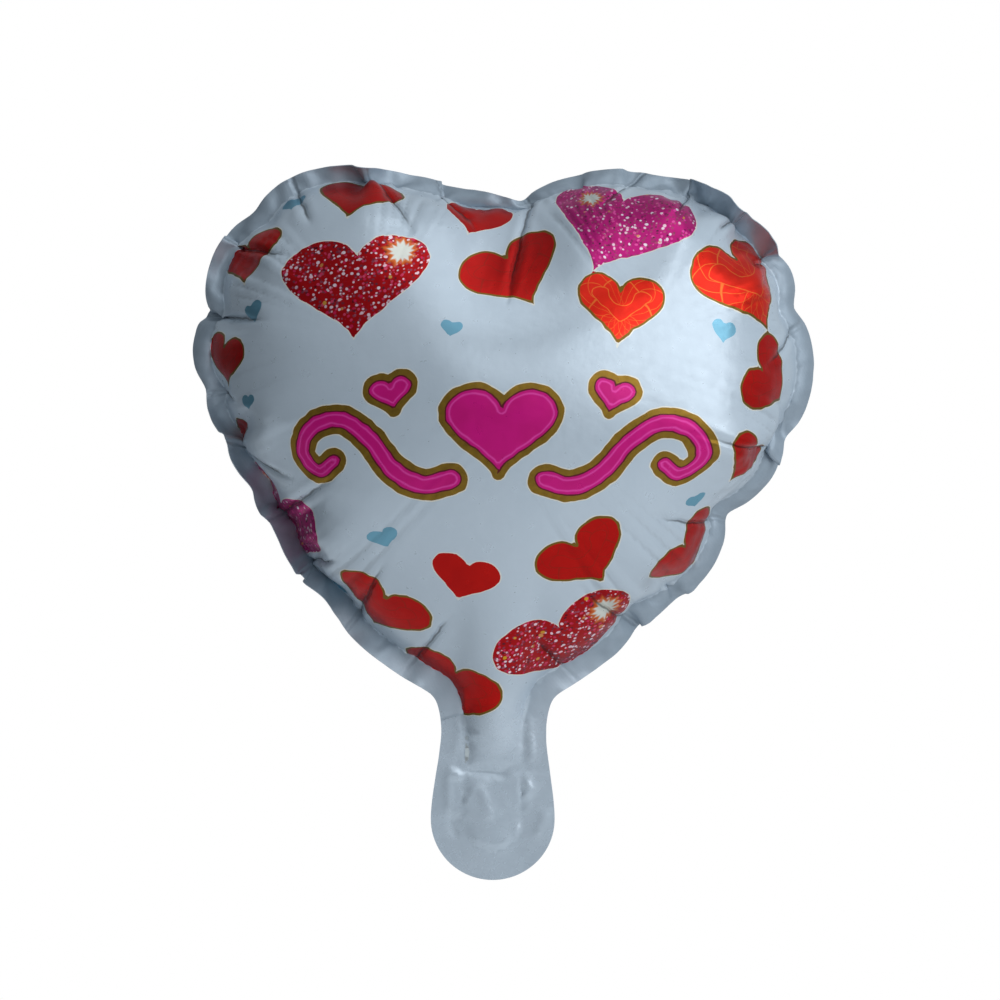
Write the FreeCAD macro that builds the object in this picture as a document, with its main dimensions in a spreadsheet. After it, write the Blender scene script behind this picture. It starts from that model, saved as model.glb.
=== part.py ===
"""Heart-shaped foil balloon, inflated, with its flat filling tail hanging below.

Two die-cut sheets of metallised film are welded together round their edges. Inflation domes both
sheets, and leaves a flat welded rim round the heart. Below the heart's tip the two sheets run on as a
flat neck and tail, with an unsealed channel up the middle. A two-ply clear film valve lies flat in the
neck and reaches into the heart. The tail folds at a crease just below the neck.

Frame: millimetres, +Z up, X across the heart, -Y to the front. The origin is the middle of the neck's
narrowest place, on the plane where the two sheets meet.
"""
import FreeCAD, Part
import math
import os

import Sketcher

V = FreeCAD.Vector

# Driving dimensions: alias, millimetres, meaning
DIMENSIONS = [
    ("lobe_radius", 64.0, "radius of each upper lobe at the rim's outer edge"),
    ("lobe_offset", 42.5, "each lobe centre's distance from the middle"),
    ("lobe_height", 133.0, "height of the lobe centres over the neck"),
    ("side_radius", 260.0, "radius of the long lower sides"),
    ("shoulder_radius", 14.0, "hollow curve from the side into the neck"),
    ("shoulder_height", 1.3, "height at which that curve meets the neck"),
    ("neck_half", 18.3, "half the width of the flat neck"),
    ("rim_width", 8.0, "width of the welded rim"),
    ("film", 0.25, "thickness of each foil sheet"),
    ("weld", 0.4, "gap between the sheets, filled by the weld in the rim"),
    ("dome_depth", 54.0, "how far each sheet stands out when inflated"),
    ("dome_height", 108.0, "height of the deepest place of the dome"),
    ("dome_reach", 65.0, "typical distance from there to the rim"),
    ("dome_tip_radius", 12.0, "radius of the dome's outline at its tip"),
    ("dome_tip_height", 20.0, "height of that radius's centre"),
    ("channel_half", 10.0, "half the width of the unsealed channel"),
    ("channel_mouth", 10.0, "radius where the channel opens into the heart"),
    ("channel_mouth_height", 7.1, "height of that radius's centre"),
    ("neck_end", 7.2, "where the neck's sheets stop, over the fold"),
    ("tail_start", 9.3, "where the tail's sheets begin, under the fold"),
    ("tail_half", 21.0, "half the width of the tail"),
    ("tail_length", 46.6, "the tail's lowest point, below the origin"),
    ("valve_half", 9.6, "half the width of the valve's plies"),
    ("valve_bottom", 6.8, "the valve's outer end, below the origin"),
    ("valve_top", 52.0, "the valve's inner end, above the origin"),
    ("valve_corner", 4.0, "corner radius of the valve's inner end"),
    ("ply", 0.12, "thickness of each valve ply"),
    ("ply_gap", 0.1, "distance between the two plies"),
    ("valve_seal", 1.5, "width of the seal down each side of the valve"),
    ("ink_half", 7.6, "half the width of the release ink patch"),
    ("ink_length", 14.0, "length of the release ink patch"),
    ("ink", 0.06, "thickness of the release ink"),
    ("tack_height", 2.0, "height of each tack seal over the valve's outer end"),
    ("tack_length", 3.0, "length of each tack seal"),
]

# The dome is lofted through copies of its outline. Each stands at an angle round a quarter ellipse:
# the cosine is the copy's size, and the sine its share of the dome's depth.
DOME_ANGLES = [0.0, 12.0, 27.0, 43.0, 58.0, 71.0, 82.0]

FRONT = -1
BACK = 1

doc = FreeCAD.newDocument("foil_balloon")
sheet = doc.addObject("Spreadsheet::Sheet", "Sizes")
for row, (alias, size, meaning) in enumerate(DIMENSIONS, start=1):
    sheet.set(f"A{row}", meaning)
    sheet.set(f"B{row}", str(size))
    sheet.setAlias(f"B{row}", alias)
doc.recompute()


def size(alias):
    """A driving dimension's value."""
    return float(sheet.get(alias))


# ---- bodies and sketches


def new_body(label):
    body = doc.addObject("PartDesign::Body", label)
    body.Label = label
    return body


def new_sketch(body, name, out="0", up="0"):
    """A sketch that faces the front. out and up are expressions: how far it stands towards the front,
    and how far its own origin is raised."""
    sketch = body.newObject("Sketcher::SketchObject", name)
    plane = [f for f in body.Origin.OriginFeatures if f.Role == "XZ_Plane"][0]
    sketch.AttachmentSupport = [(plane, "")]
    sketch.MapMode = "FlatFace"
    sketch.setExpression(".AttachmentOffset.Base.y", up)
    sketch.setExpression(".AttachmentOffset.Base.z", out)
    return sketch


def bind(sketch, name, expression, kind, *where):
    """Adds a dimension that follows an expression over the sheet's cells."""
    index = sketch.addConstraint(Sketcher.Constraint(kind, *where))
    sketch.renameConstraint(index, name)
    sketch.setExpression(f"Constraints.{name}", expression)


def arc(centre, radius, start, end):
    circle = Part.Circle(V(centre[0], centre[1], 0), V(0, 0, 1), radius)
    return Part.ArcOfCircle(circle, start, end)


def line(start, end):
    return Part.LineSegment(V(start[0], start[1], 0), V(end[0], end[1], 0))


def heading(start, end):
    """The angle of the way from start to end."""
    return math.atan2(end[1] - start[1], end[0] - start[0])


def circles_meet(a, radius_a, b, radius_b):
    """The leftmost of the two points at those distances from a and b."""
    gap = math.hypot(b[0] - a[0], b[1] - a[1])
    along = (radius_a**2 - radius_b**2 + gap**2) / (2 * gap)
    aside = math.sqrt(radius_a**2 - along**2)
    ux, uy = (b[0] - a[0]) / gap, (b[1] - a[1]) / gap
    points = [(a[0] + ux * along - s * uy * aside, a[1] + uy * along + s * ux * aside) for s in (1, -1)]
    return min(points)


def mirror(point):
    return (-point[0], point[1])


# ---- the dome's outline, as arcs round a closed heart


def dome_section(sketch, scale):
    """A closed heart about the dome's deepest place, at a scale given as a number. Its dimensions are
    the sheet's cells times that scale."""
    radius = (size("lobe_radius") - size("rim_width")) * scale
    side = (size("side_radius") - size("rim_width")) * scale
    tip_radius = size("dome_tip_radius") * scale
    lobe = (size("lobe_offset") * scale, (size("lobe_height") - size("dome_height")) * scale)
    tip = (0.0, (size("dome_tip_height") - size("dome_height")) * scale)
    centre = circles_meet(lobe, side - radius, tip, side - tip_radius)
    notch = (0.0, lobe[1] + math.sqrt(radius**2 - lobe[0] ** 2))
    side_start = heading(centre, lobe)
    side_end = heading(centre, tip)

    right_lobe = arc(lobe, radius, side_start, heading(lobe, notch))
    right_side = arc(centre, side, side_end, side_start)
    bottom = arc(tip, tip_radius, -math.pi - side_end, side_end)
    left_side = arc(mirror(centre), side, math.pi - side_start, math.pi - side_end)
    left_lobe = arc(mirror(lobe), radius, heading(mirror(lobe), notch), math.pi - side_start)
    for curve in (right_lobe, right_side, bottom, left_side, left_lobe):
        sketch.addGeometry(curve)

    start, end, middle = 1, 2, 3
    sketch.addConstraint(Sketcher.Constraint("Tangent", 0, start, 1, end))
    sketch.addConstraint(Sketcher.Constraint("Tangent", 1, start, 2, end))
    sketch.addConstraint(Sketcher.Constraint("Tangent", 2, start, 3, end))
    sketch.addConstraint(Sketcher.Constraint("Tangent", 3, start, 4, end))
    sketch.addConstraint(Sketcher.Constraint("Coincident", 0, end, 4, start))
    share = f"* {scale:.6f}"
    lobe_radius = f"(Sizes.lobe_radius - Sizes.rim_width) {share}"
    lobe_up = f"(Sizes.lobe_height - Sizes.dome_height) {share}"
    side_radius = f"(Sizes.side_radius - Sizes.rim_width) {share}"
    tip_down = f"(Sizes.dome_height - Sizes.dome_tip_height) {share}"
    for index, word, sign in ((0, "right", 1), (4, "left", -1)):
        x = sign * lobe[0]
        across = f"{'' if sign > 0 else '-'}Sizes.lobe_offset {share}"
        bind(sketch, f"{word}_lobe_radius", lobe_radius, "Radius", index, radius)
        bind(sketch, f"{word}_lobe_across", across, "DistanceX", -1, 1, index, middle, x)
        bind(sketch, f"{word}_lobe_up", lobe_up, "DistanceY", -1, 1, index, middle, lobe[1])
    for index, word in ((1, "right"), (3, "left")):
        bind(sketch, f"{word}_side_radius", side_radius, "Radius", index, side)
    sketch.addConstraint(Sketcher.Constraint("PointOnObject", 2, middle, -2))
    bind(sketch, "tip_radius", f"Sizes.dome_tip_radius {share}", "Radius", 2, tip_radius)
    bind(sketch, "tip_down", tip_down, "DistanceY", 2, middle, -1, 1, -tip[1])


# ---- the flat outline of the heart with its neck


def rim_arcs():
    """Centres and angles that the rim's outer and inner outlines share."""
    lobe = (size("lobe_offset"), size("lobe_height"))
    shoulder = (size("neck_half") + size("shoulder_radius"), size("shoulder_height"))
    side = size("side_radius")
    centre = circles_meet(lobe, side - size("lobe_radius"), shoulder, side + size("shoulder_radius"))
    return lobe, shoulder, centre


def add_outline(sketch, radius, side, shoulder, shoulder_radius, edge):
    """Right lobe, side, shoulder and neck edge, then the same on the left. Returns the first index."""
    lobe, _, centre = rim_arcs()
    notch = (0.0, lobe[1] + math.sqrt(radius**2 - lobe[0] ** 2))
    side_start = heading(centre, lobe)
    side_end = heading(centre, shoulder)
    neck_end = -size("neck_end")
    first = sketch.GeometryCount
    sketch.addGeometry(arc(lobe, radius, side_start, heading(lobe, notch)))
    sketch.addGeometry(arc(centre, side, side_end, side_start))
    sketch.addGeometry(arc(shoulder, shoulder_radius, heading(shoulder, centre), math.pi))
    sketch.addGeometry(line((edge, shoulder[1]), (edge, neck_end)))
    sketch.addGeometry(arc(mirror(lobe), radius, heading(mirror(lobe), notch), math.pi - side_start))
    sketch.addGeometry(arc(mirror(centre), side, math.pi - side_start, math.pi - side_end))
    sketch.addGeometry(arc(mirror(shoulder), shoulder_radius, 0.0, math.pi - heading(shoulder, centre)))
    sketch.addGeometry(line((-edge, shoulder[1]), (-edge, neck_end)))
    join = [(0, 1, 1, 2), (1, 1, 2, 1), (2, 2, 3, 1), (4, 2, 5, 1), (5, 2, 6, 2), (6, 1, 7, 1)]
    for a, end_a, b, end_b in join:
        sketch.addConstraint(Sketcher.Constraint("Tangent", first + a, end_a, first + b, end_b))
    sketch.addConstraint(Sketcher.Constraint("Coincident", first, 2, first + 4, 1))
    return first


def outer_outline(sketch):
    """The rim's outer edge, down to the neck's end."""
    lobe, shoulder, _ = rim_arcs()
    radius, side = size("lobe_radius"), size("side_radius")
    edge = size("neck_half")
    first = add_outline(sketch, radius, side, shoulder, size("shoulder_radius"), edge)
    for offset, word, sign in ((0, "right", 1), (4, "left", -1)):
        dash = "" if sign > 0 else "-"
        index = first + offset
        bend = index + 2
        across = f"{dash}Sizes.lobe_offset"
        bend_across = f"{dash}(Sizes.neck_half + Sizes.shoulder_radius)"
        bend_radius = size("shoulder_radius")
        bind(sketch, f"{word}_lobe_radius", "Sizes.lobe_radius", "Radius", index, radius)
        bind(sketch, f"{word}_lobe_across", across, "DistanceX", -1, 1, index, 3, sign * lobe[0])
        bind(sketch, f"{word}_lobe_up", "Sizes.lobe_height", "DistanceY", -1, 1, index, 3, lobe[1])
        bind(sketch, f"{word}_side_radius", "Sizes.side_radius", "Radius", index + 1, side)
        bind(sketch, f"{word}_shoulder_radius", "Sizes.shoulder_radius", "Radius", bend, bend_radius)
        bind(sketch, f"{word}_shoulder_across", bend_across, "DistanceX", -1, 1, bend, 3, sign * shoulder[0])
        bind(sketch, f"{word}_shoulder_up", "Sizes.shoulder_height", "DistanceY", -1, 1, bend, 3, shoulder[1])
        bind(sketch, f"{word}_neck_end", "Sizes.neck_end", "DistanceY", index + 3, 2, -1, 1, size("neck_end"))
    return first


def inner_outline(sketch, outer):
    """The rim's inner edge and the channel's sides, on the same centres as the outer edge."""
    inset = size("rim_width")
    mouth = (size("channel_half") + size("channel_mouth"), size("channel_mouth_height"))
    radius, side = size("lobe_radius") - inset, size("side_radius") - inset
    first = add_outline(sketch, radius, side, mouth, size("channel_mouth"), size("channel_half"))
    for offset, word, sign in ((0, "right", 1), (4, "left", -1)):
        dash = "" if sign > 0 else "-"
        index = first + offset
        bend = index + 2
        bend_across = f"{dash}(Sizes.channel_half + Sizes.channel_mouth)"
        sketch.addConstraint(Sketcher.Constraint("Coincident", index, 3, outer + offset, 3))
        sketch.addConstraint(Sketcher.Constraint("Coincident", index + 1, 3, outer + offset + 1, 3))
        bind(sketch, f"{word}_inner_lobe", "Sizes.lobe_radius - Sizes.rim_width", "Radius", index, radius)
        bind(sketch, f"{word}_mouth_radius", "Sizes.channel_mouth", "Radius", bend, size("channel_mouth"))
        bind(sketch, f"{word}_mouth_across", bend_across, "DistanceX", -1, 1, bend, 3, sign * mouth[0])
        bind(sketch, f"{word}_channel_end", "Sizes.neck_end", "DistanceY", index + 3, 2, -1, 1,
             size("neck_end"))
    return first


def close(sketch, a, end_a, b, end_b, start, end):
    """A straight edge between two open ends."""
    index = sketch.addGeometry(line(start, end))
    sketch.addConstraint(Sketcher.Constraint("Coincident", index, 1, a, end_a))
    sketch.addConstraint(Sketcher.Constraint("Coincident", index, 2, b, end_b))
    return index


def outward(side, expression):
    """A distance out of the seam plane as an offset towards the front."""
    return expression if side == FRONT else f"-({expression})"


def pad(body, sketch, name, thickness, side):
    """Thickens a sketch away from the seam plane."""
    feature = body.newObject("PartDesign::Pad", name)
    feature.Profile = sketch
    feature.Reversed = side == BACK
    feature.setExpression("Length", thickness)
    return feature


# ---- the sub-parts


def heart_film(label, side):
    """One foil sheet of the heart and neck: a flat rim with a hollow dome."""
    body = new_body(label)
    flat = new_sketch(body, label + "_rim_outline", outward(side, "Sizes.weld / 2"))
    first = outer_outline(flat)
    edge, low = size("neck_half"), -size("neck_end")
    close(flat, first + 3, 2, first + 7, 2, (edge, low), (-edge, low))
    pad(body, flat, label + "_rim", "Sizes.film", side)
    add_dome(body, label + "_dome", "PartDesign::AdditiveLoft", side, "Sizes.dome_depth", 1.0)
    hollow = 1.0 - size("film") / size("dome_reach")
    depth = "(Sizes.dome_depth - Sizes.film)"
    add_dome(body, label + "_hollow", "PartDesign::SubtractiveLoft", side, depth, hollow)
    return body


def add_dome(body, name, kind, side, depth, share):
    """Lofts the dome's outline out to its deepest place."""
    sections = []
    for index, angle in enumerate(DOME_ANGLES):
        turn = math.radians(angle)
        out = f"Sizes.weld / 2 + {depth} * {math.sin(turn):.6f}"
        sketch = new_sketch(body, f"{name}_outline_{index}", outward(side, out), "Sizes.dome_height")
        dome_section(sketch, share * math.cos(turn))
        sections.append(sketch)
    loft = body.newObject(kind, name)
    loft.Profile = sections[0]
    loft.Sections = sections[1:]
    loft.Ruled = False
    return loft


def perimeter_weld(label):
    """The fused sealing layer between the sheets: round the rim and down both sides of the neck."""
    body = new_body(label)
    band = new_sketch(body, label + "_outline", "-Sizes.weld / 2")
    outer = outer_outline(band)
    inner = inner_outline(band, outer)
    low = -size("neck_end")
    close(band, outer + 3, 2, inner + 3, 2, (size("neck_half"), low), (size("channel_half"), low))
    close(band, outer + 7, 2, inner + 7, 2, (-size("neck_half"), low), (-size("channel_half"), low))
    pad(body, band, label + "_band", "Sizes.weld", FRONT)
    return body


def tail_outline(sketch):
    """A tongue: sides tangent to a round end, cut square at the fold."""
    radius = size("tail_half")
    centre = (0.0, radius - size("tail_length"))
    corner = (size("neck_half"), -size("tail_start"))
    reach = math.hypot(corner[0], corner[1] - centre[1])
    touch = heading(centre, corner) - math.acos(radius / reach)
    touching = (radius * math.cos(touch), centre[1] + radius * math.sin(touch))
    sketch.addGeometry(arc(centre, radius, math.pi - touch, 2 * math.pi + touch))
    sketch.addGeometry(line(touching, corner))
    sketch.addGeometry(line(corner, mirror(corner)))
    sketch.addGeometry(line(mirror(corner), mirror(touching)))
    sketch.addConstraint(Sketcher.Constraint("Tangent", 0, 2, 1, 1))
    sketch.addConstraint(Sketcher.Constraint("Coincident", 1, 2, 2, 1))
    sketch.addConstraint(Sketcher.Constraint("Coincident", 2, 2, 3, 1))
    sketch.addConstraint(Sketcher.Constraint("Tangent", 3, 2, 0, 1))
    sketch.addConstraint(Sketcher.Constraint("PointOnObject", 0, 3, -2))
    bind(sketch, "end_radius", "Sizes.tail_half", "Radius", 0, radius)
    bind(sketch, "end_down", "Sizes.tail_length - Sizes.tail_half", "DistanceY", 0, 3, -1, 1, -centre[1])
    for index, word, sign in ((1, "right", 1), (2, "left", -1)):
        across = "Sizes.neck_half" if sign > 0 else "-Sizes.neck_half"
        bind(sketch, f"{word}_across", across, "DistanceX", -1, 1, index, 2, sign * corner[0])
        bind(sketch, f"{word}_down", "Sizes.tail_start", "DistanceY", index, 2, -1, 1, -corner[1])


def tail_film(label, side):
    body = new_body(label)
    outline = new_sketch(body, label + "_outline", outward(side, "Sizes.weld / 2"))
    tail_outline(outline)
    pad(body, outline, label + "_sheet", "Sizes.film", side)
    return body


def plate(label, parts):
    """Flat boxes as one sub-part. Each is given by six expressions: its left side and width, its bottom
    and height, and its front side and thickness."""
    boxes = []
    for number, (left, width, bottom, length, near, thickness) in enumerate(parts):
        box = doc.addObject("Part::Box", f"{label}_piece_{number}")
        box.setExpression("Length", width)
        box.setExpression("Width", thickness)
        box.setExpression("Height", length)
        box.setExpression(".Placement.Base.x", left)
        box.setExpression(".Placement.Base.y", near)
        box.setExpression(".Placement.Base.z", bottom)
        boxes.append(box)
    group = doc.addObject("Part::Compound", label)
    group.Links = boxes
    group.Label = label
    return group


def tail_welds(label):
    """The weld down each side of the tail. Between them the filling channel is open to the tail's end."""
    body = new_body(label + "_body")
    outline = new_sketch(body, label + "_outline", "-Sizes.weld / 2")
    tail_outline(outline)
    pad(body, outline, label + "_blank", "Sizes.weld", FRONT)
    gap = ("-Sizes.channel_half", "2 * Sizes.channel_half", "-Sizes.tail_length - 1",
           "Sizes.tail_length + 1", "-Sizes.weld", "2 * Sizes.weld")
    channel = plate(label + "_channel", [gap])
    cut = doc.addObject("Part::Cut", label)
    cut.Base = body
    cut.Tool = channel
    cut.Label = label
    return cut


def valve_ply(label, side):
    """One clear ply of the valve, with a rounded inner end."""
    body = new_body(label)
    outline = new_sketch(body, label + "_outline", outward(side, "Sizes.ply_gap / 2"))
    half, corner = size("valve_half"), size("valve_corner")
    low, top = -size("valve_bottom"), size("valve_top")
    straight = top - corner
    right, left = (half - corner, straight), (corner - half, straight)
    outline.addGeometry(line((-half, low), (half, low)))
    outline.addGeometry(line((half, low), (half, straight)))
    outline.addGeometry(arc(right, corner, 0.0, math.pi / 2))
    outline.addGeometry(line((right[0], top), (left[0], top)))
    outline.addGeometry(arc(left, corner, math.pi / 2, math.pi))
    outline.addGeometry(line((-half, straight), (-half, low)))
    outline.addConstraint(Sketcher.Constraint("Coincident", 0, 2, 1, 1))
    outline.addConstraint(Sketcher.Constraint("Coincident", 5, 2, 0, 1))
    for a, end_a, b, end_b in ((1, 2, 2, 1), (2, 2, 3, 1), (3, 2, 4, 1), (4, 2, 5, 1)):
        outline.addConstraint(Sketcher.Constraint("Tangent", a, end_a, b, end_b))
    outline.addConstraint(Sketcher.Constraint("Horizontal", 0))
    outline.addConstraint(Sketcher.Constraint("Vertical", 1))
    outline.addConstraint(Sketcher.Constraint("Vertical", 5))
    outline.addConstraint(Sketcher.Constraint("Equal", 2, 4))
    bind(outline, "corner", "Sizes.valve_corner", "Radius", 2, corner)
    bind(outline, "right_edge", "Sizes.valve_half", "DistanceX", -1, 1, 0, 2, half)
    bind(outline, "left_edge", "Sizes.valve_half", "DistanceX", 0, 1, -1, 1, half)
    bind(outline, "bottom", "Sizes.valve_bottom", "DistanceY", 0, 1, -1, 1, -low)
    bind(outline, "top", "Sizes.valve_top", "DistanceY", -1, 1, 3, 1, top)
    pad(body, outline, label + "_sheet", "Sizes.ply", side)
    return body


def valve_side_seals(label):
    """The two plies are welded to each other down both long edges."""
    length = "Sizes.valve_top - Sizes.valve_corner + Sizes.valve_bottom"
    near = "-Sizes.ply_gap / 2"
    lefts = ("-Sizes.valve_half", "Sizes.valve_half - Sizes.valve_seal")
    strips = [(left, "Sizes.valve_seal", "-Sizes.valve_bottom", length, near, "Sizes.ply_gap")
              for left in lefts]
    return plate(label, strips)


def valve_release_ink(label):
    """A heat-proof ink patch that keeps the plies from welding to each other across the neck."""
    patch = ("-Sizes.ink_half", "2 * Sizes.ink_half", "-Sizes.valve_bottom", "Sizes.ink_length",
             "-Sizes.ink / 2", "Sizes.ink")
    return plate(label, [patch])


def valve_tack_seals(label):
    """A short weld from each ply to the sheet that it lies against."""
    thickness = "Sizes.weld / 2 - Sizes.ply - Sizes.ply_gap / 2"
    bottom = "Sizes.tack_height - Sizes.valve_bottom"
    backs = ("-Sizes.weld / 2", "Sizes.ply + Sizes.ply_gap / 2")
    welds = [("-Sizes.valve_half", "2 * Sizes.valve_half", bottom, "Sizes.tack_length", near, thickness)
             for near in backs]
    return plate(label, welds)


SUBPARTS = [
    heart_film("front_film", FRONT),
    heart_film("back_film", BACK),
    perimeter_weld("perimeter_weld"),
    valve_ply("valve_front_ply", FRONT),
    valve_ply("valve_back_ply", BACK),
    valve_side_seals("valve_side_seals"),
    valve_release_ink("valve_release_ink"),
    valve_tack_seals("valve_tack_seals"),
    tail_film("tail_front_film", FRONT),
    tail_film("tail_back_film", BACK),
    tail_welds("tail_side_welds"),
]


# ---- checks and files

doc.recompute()
failed = [o.Label for o in doc.Objects if "Invalid" in o.State or "Error" in o.State]
if failed:
    raise RuntimeError(f"these objects failed: {failed}")
for part in SUBPARTS:
    if part.Shape.isNull() or not part.Shape.isValid():
        raise RuntimeError(f"{part.Label} has no valid shape")

os.makedirs("parts", exist_ok=True)
for part in SUBPARTS:
    part.Shape.exportStep(f"parts/{part.Label}.step")
    box = part.Shape.BoundBox
    print(f"{part.Label}: {len(part.Shape.Solids)} solid(s), {part.Shape.Volume:.1f} mm3, "
          f"{box.XLength:.1f} x {box.YLength:.1f} x {box.ZLength:.1f}")
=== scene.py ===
"""The looks of an inflated heart-shaped foil balloon.

Both sheets are cut flat, welded round the rim and inflated by a small film simulation, so the rim
puckers as the real one does. The print lies in the flat sheet's own coordinates, and so it bends, folds
and shortens with the film.

Lengths are millimetres until a mesh is made, which is in metres. +Z is up and -Y is the front.
"""
import math

import bpy
import numpy as np
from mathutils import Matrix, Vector
from mathutils.geometry import delaunay_2d_cdt


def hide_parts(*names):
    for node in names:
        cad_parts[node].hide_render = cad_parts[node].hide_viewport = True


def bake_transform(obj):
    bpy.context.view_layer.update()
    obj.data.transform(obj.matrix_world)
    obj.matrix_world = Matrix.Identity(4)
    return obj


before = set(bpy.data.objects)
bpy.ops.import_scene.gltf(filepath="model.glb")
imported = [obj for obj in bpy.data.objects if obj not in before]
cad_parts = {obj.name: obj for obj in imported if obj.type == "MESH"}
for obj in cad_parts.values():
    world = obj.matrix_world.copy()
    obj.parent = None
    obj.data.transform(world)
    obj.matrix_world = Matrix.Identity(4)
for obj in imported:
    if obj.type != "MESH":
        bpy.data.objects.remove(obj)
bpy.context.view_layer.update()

MM = 0.001

# The flat pattern
LOBE_RADIUS = 81.0
LOBE_ACROSS = 46.0
LOBE_UP = 146.0
SIDE_RADIUS = 165.0
SHOULDER = (25.0, 14.0)
NECK_HALF = 18.3
TAIL_HALF = 21.0
TAIL_ROUND = -26.0
TAIL_LOW = -46.6
NOTCH_FILL = 20.0
NOTCH_DROP = 34.0
HEART_RIM = 8.0
TAIL_RIM = 10.8
FOLD = -9.0
# Where the rim puckers, in degrees round the heart's middle, from its right side
MIDDLE = (0.0, 120.0)
PINCHES = [
    -72, -58, -44, -28, -12, 2, 14, 27, 38, 50, 62,
    120, 134, 148, 162, 176, 190, 205, 220, 234, 248, 262,
]
PINCH_WIDTH = 2.5
PINCH_LIFT = 4.0
PINCH_PULL = 0.006

# The film
FINE_SPACING = 2.6
SPACING = FINE_SPACING
SEAM_STEP = 0.8
BENDING = 0.03
RIM_BENDING = 0.12
# steps, pressure and damping of each stage of the inflation
STAGES = [
    (600, 4e-4, 0.004), (1500, 4e-4, 0.003), (1000, 2e-4, 0.008), (400, 2e-4, 0.03)]

# The inflated heart isn't symmetrical: its notch leans right, its right lobe is higher, and it is a
# little wider below and narrower above. Each width is a height, and a share there.
LEAN = 4.3
RIGHT_UP = 5.1
WIDTHS = [(45, 0.056), (105, 0.011), (170, -0.03)]

# The inflated rim's scallops: where each notch is round the heart's middle, how far out it is, and how
# much the rim swells beyond the even line to the next notch
SCALLOPS = [
    (-73, 102, 0), (-58, 87, 9), (-28, 86, 6), (-9, 97, 8), (16, 103, 4), (26, 105, 2), (34, 103, 1),
    (46, 98, 1), (54, 90, 3), (83, 64, 0), (100, 69, 0), (114, 80, 1), (121, 86, 2), (135, 100, 2),
    (145, 101, 6), (165, 100, 6), (180, 97, 3), (190, 93, 2), (203, 88, 3), (213, 87, 4), (236, 89, 3),
    (246, 95, 0), (259, 112, 0),
]
# How far in the seam lies (half as far at the cleft's angle), and how far in wide and narrow moves reach
SEAM_IN = 6.5
CLEFT = 86
WIDE_REACH = 38
NARROW_REACH = 9
# Creases that run in from the notches of the flat seam: angle, length and slant in degrees
CREASES = [
    (-74, 24, 20), (-59, 38, 10), (-29, 44, 6), (-10, 50, -8), (14, 30, 12), (27, 20, -10), (38, 22, 0),
    (50, 32, 12), (62, 30, -8), (86, 52, -4), (107, 34, 14), (120, 40, 0), (134, 24, -14), (148, 34, 10),
    (162, 38, 8), (177, 18, -6), (191, 38, -16), (207, 50, 8), (221, 30, -10), (238, 42, 6), (252, 34, -14),
]

# Fine relief, millimetres
WRINKLE = 0.42
WRINKLE_STEP = 6.6
WRINKLE_REACH = 42.0
CREASE = 0.8
CALM_ALL = 5
CALM_STEPS = 50
RIM_FACET = 0.45
CHANNEL_HALF = 10.0
CHANNEL_PUFF = 1.0
# (x, z) of both ends, height and width of each crease in the neck and tail
FRONT_CREASES = [
    (-15, -8, 6, -11, -0.8, 1.2), (-15, -8, -15, -27, 0.7, 1.1), (11, -15, 10, -26, 0.8, 1.2),
    (10, -26, 6, -34, 0.6, 1.2), (9, -10, 13, -19, 1.3, 1.6), (-16, -8, -9, -13, 1.1, 1.5),
    (-5, -13, -12, -26, 0.7, 1.4), (-5, -13, 0, -27, 0.6, 1.6), (0, -38, 8, -31, 0.7, 1.3),
    (-16, -20, -12, -34, -0.6, 1.2), (19, -21, 14, -33, 0.6, 1.2), (-9, 6, -9, -8, -0.8, 1.2),
    (-11, 4, -1, 4, 0.6, 1.2), (13, 10, 13, -8, 0.7, 1.2), (4, 15, 13, 9, 0.8, 1.4),
    (-13, -6, -11, 22, 0.6, 1.3),
]
BACK_CREASES = [
    (12, -5, 10, 20, 0.7, 1.3), (-8, 0, -13, 21, 0.7, 1.3), (1, -4, -5, 18, 0.6, 1.4),
    (-10, -12, -9, -32, 0.6, 1.2), (10, -13, 9, -34, 0.6, 1.2), (-9, -15, 7, -28, 0.5, 1.2),
]
LAYER = (0.05, 0.17)
WELD_HALF = 0.04

# The print: kind, middle across and up, width, tilt in degrees, and a glitter heart's starburst, in
# shares of its width. Each middle is where it lies on the inflated front.
PLAIN, OUTLINED, FACETED, RED_GLITTER, PINK_GLITTER, PALE_BLUE = range(6)
HEARTS = [
    (OUTLINED, -47, 184, 32, -5),
    (OUTLINED, -84, 162, 31, 10),
    (RED_GLITTER, -47, 152, 50, 8, (0.29, 0.25)),
    (OUTLINED, -92, 128, 27, -10),
    (OUTLINED, -86, 103, 22, 15),
    (PINK_GLITTER, -69, 75, 54, -12, (-0.30, 0.20)),
    (OUTLINED, -39, 46, 34, -25),
    (OUTLINED, -13, 19, 38, -15),
    (PLAIN, -10, 56, 22, -15),
    (PLAIN, -8, 177, 26, -15),
    (OUTLINED, 5, 157, 38, 28),
    (PINK_GLITTER, 38, 175, 60, -28, (-0.23, 0.17)),
    (FACETED, 41, 146, 32, -8),
    (FACETED, 85, 157, 46, 22),
    (OUTLINED, 92, 123, 30, 50),
    (OUTLINED, 84, 97, 26, -30),
    (OUTLINED, 65, 65, 33, 40),
    (OUTLINED, 30, 63, 31, 34),
    (RED_GLITTER, 24, 34, 50, 24, (0.32, 0.18)),
    (PALE_BLUE, -70, 182, 10, 10),
    (PALE_BLUE, -81, 144, 11, 12),
    (PALE_BLUE, -83, 114, 8, 5),
    (PALE_BLUE, -54, 53, 11, -30),
    (PALE_BLUE, -37, 69, 10, 15),
    (PALE_BLUE, -15, 139, 8, -5),
    (PALE_BLUE, 75, 139, 10, -12),
    (PALE_BLUE, 66, 83, 8, 15),
]
MOTIF_UP = 117
MOTIF_HEARTS = [(0, 117, 36, 0), (36, 128, 14, -14), (-36, 128, 14, 14)]
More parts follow.
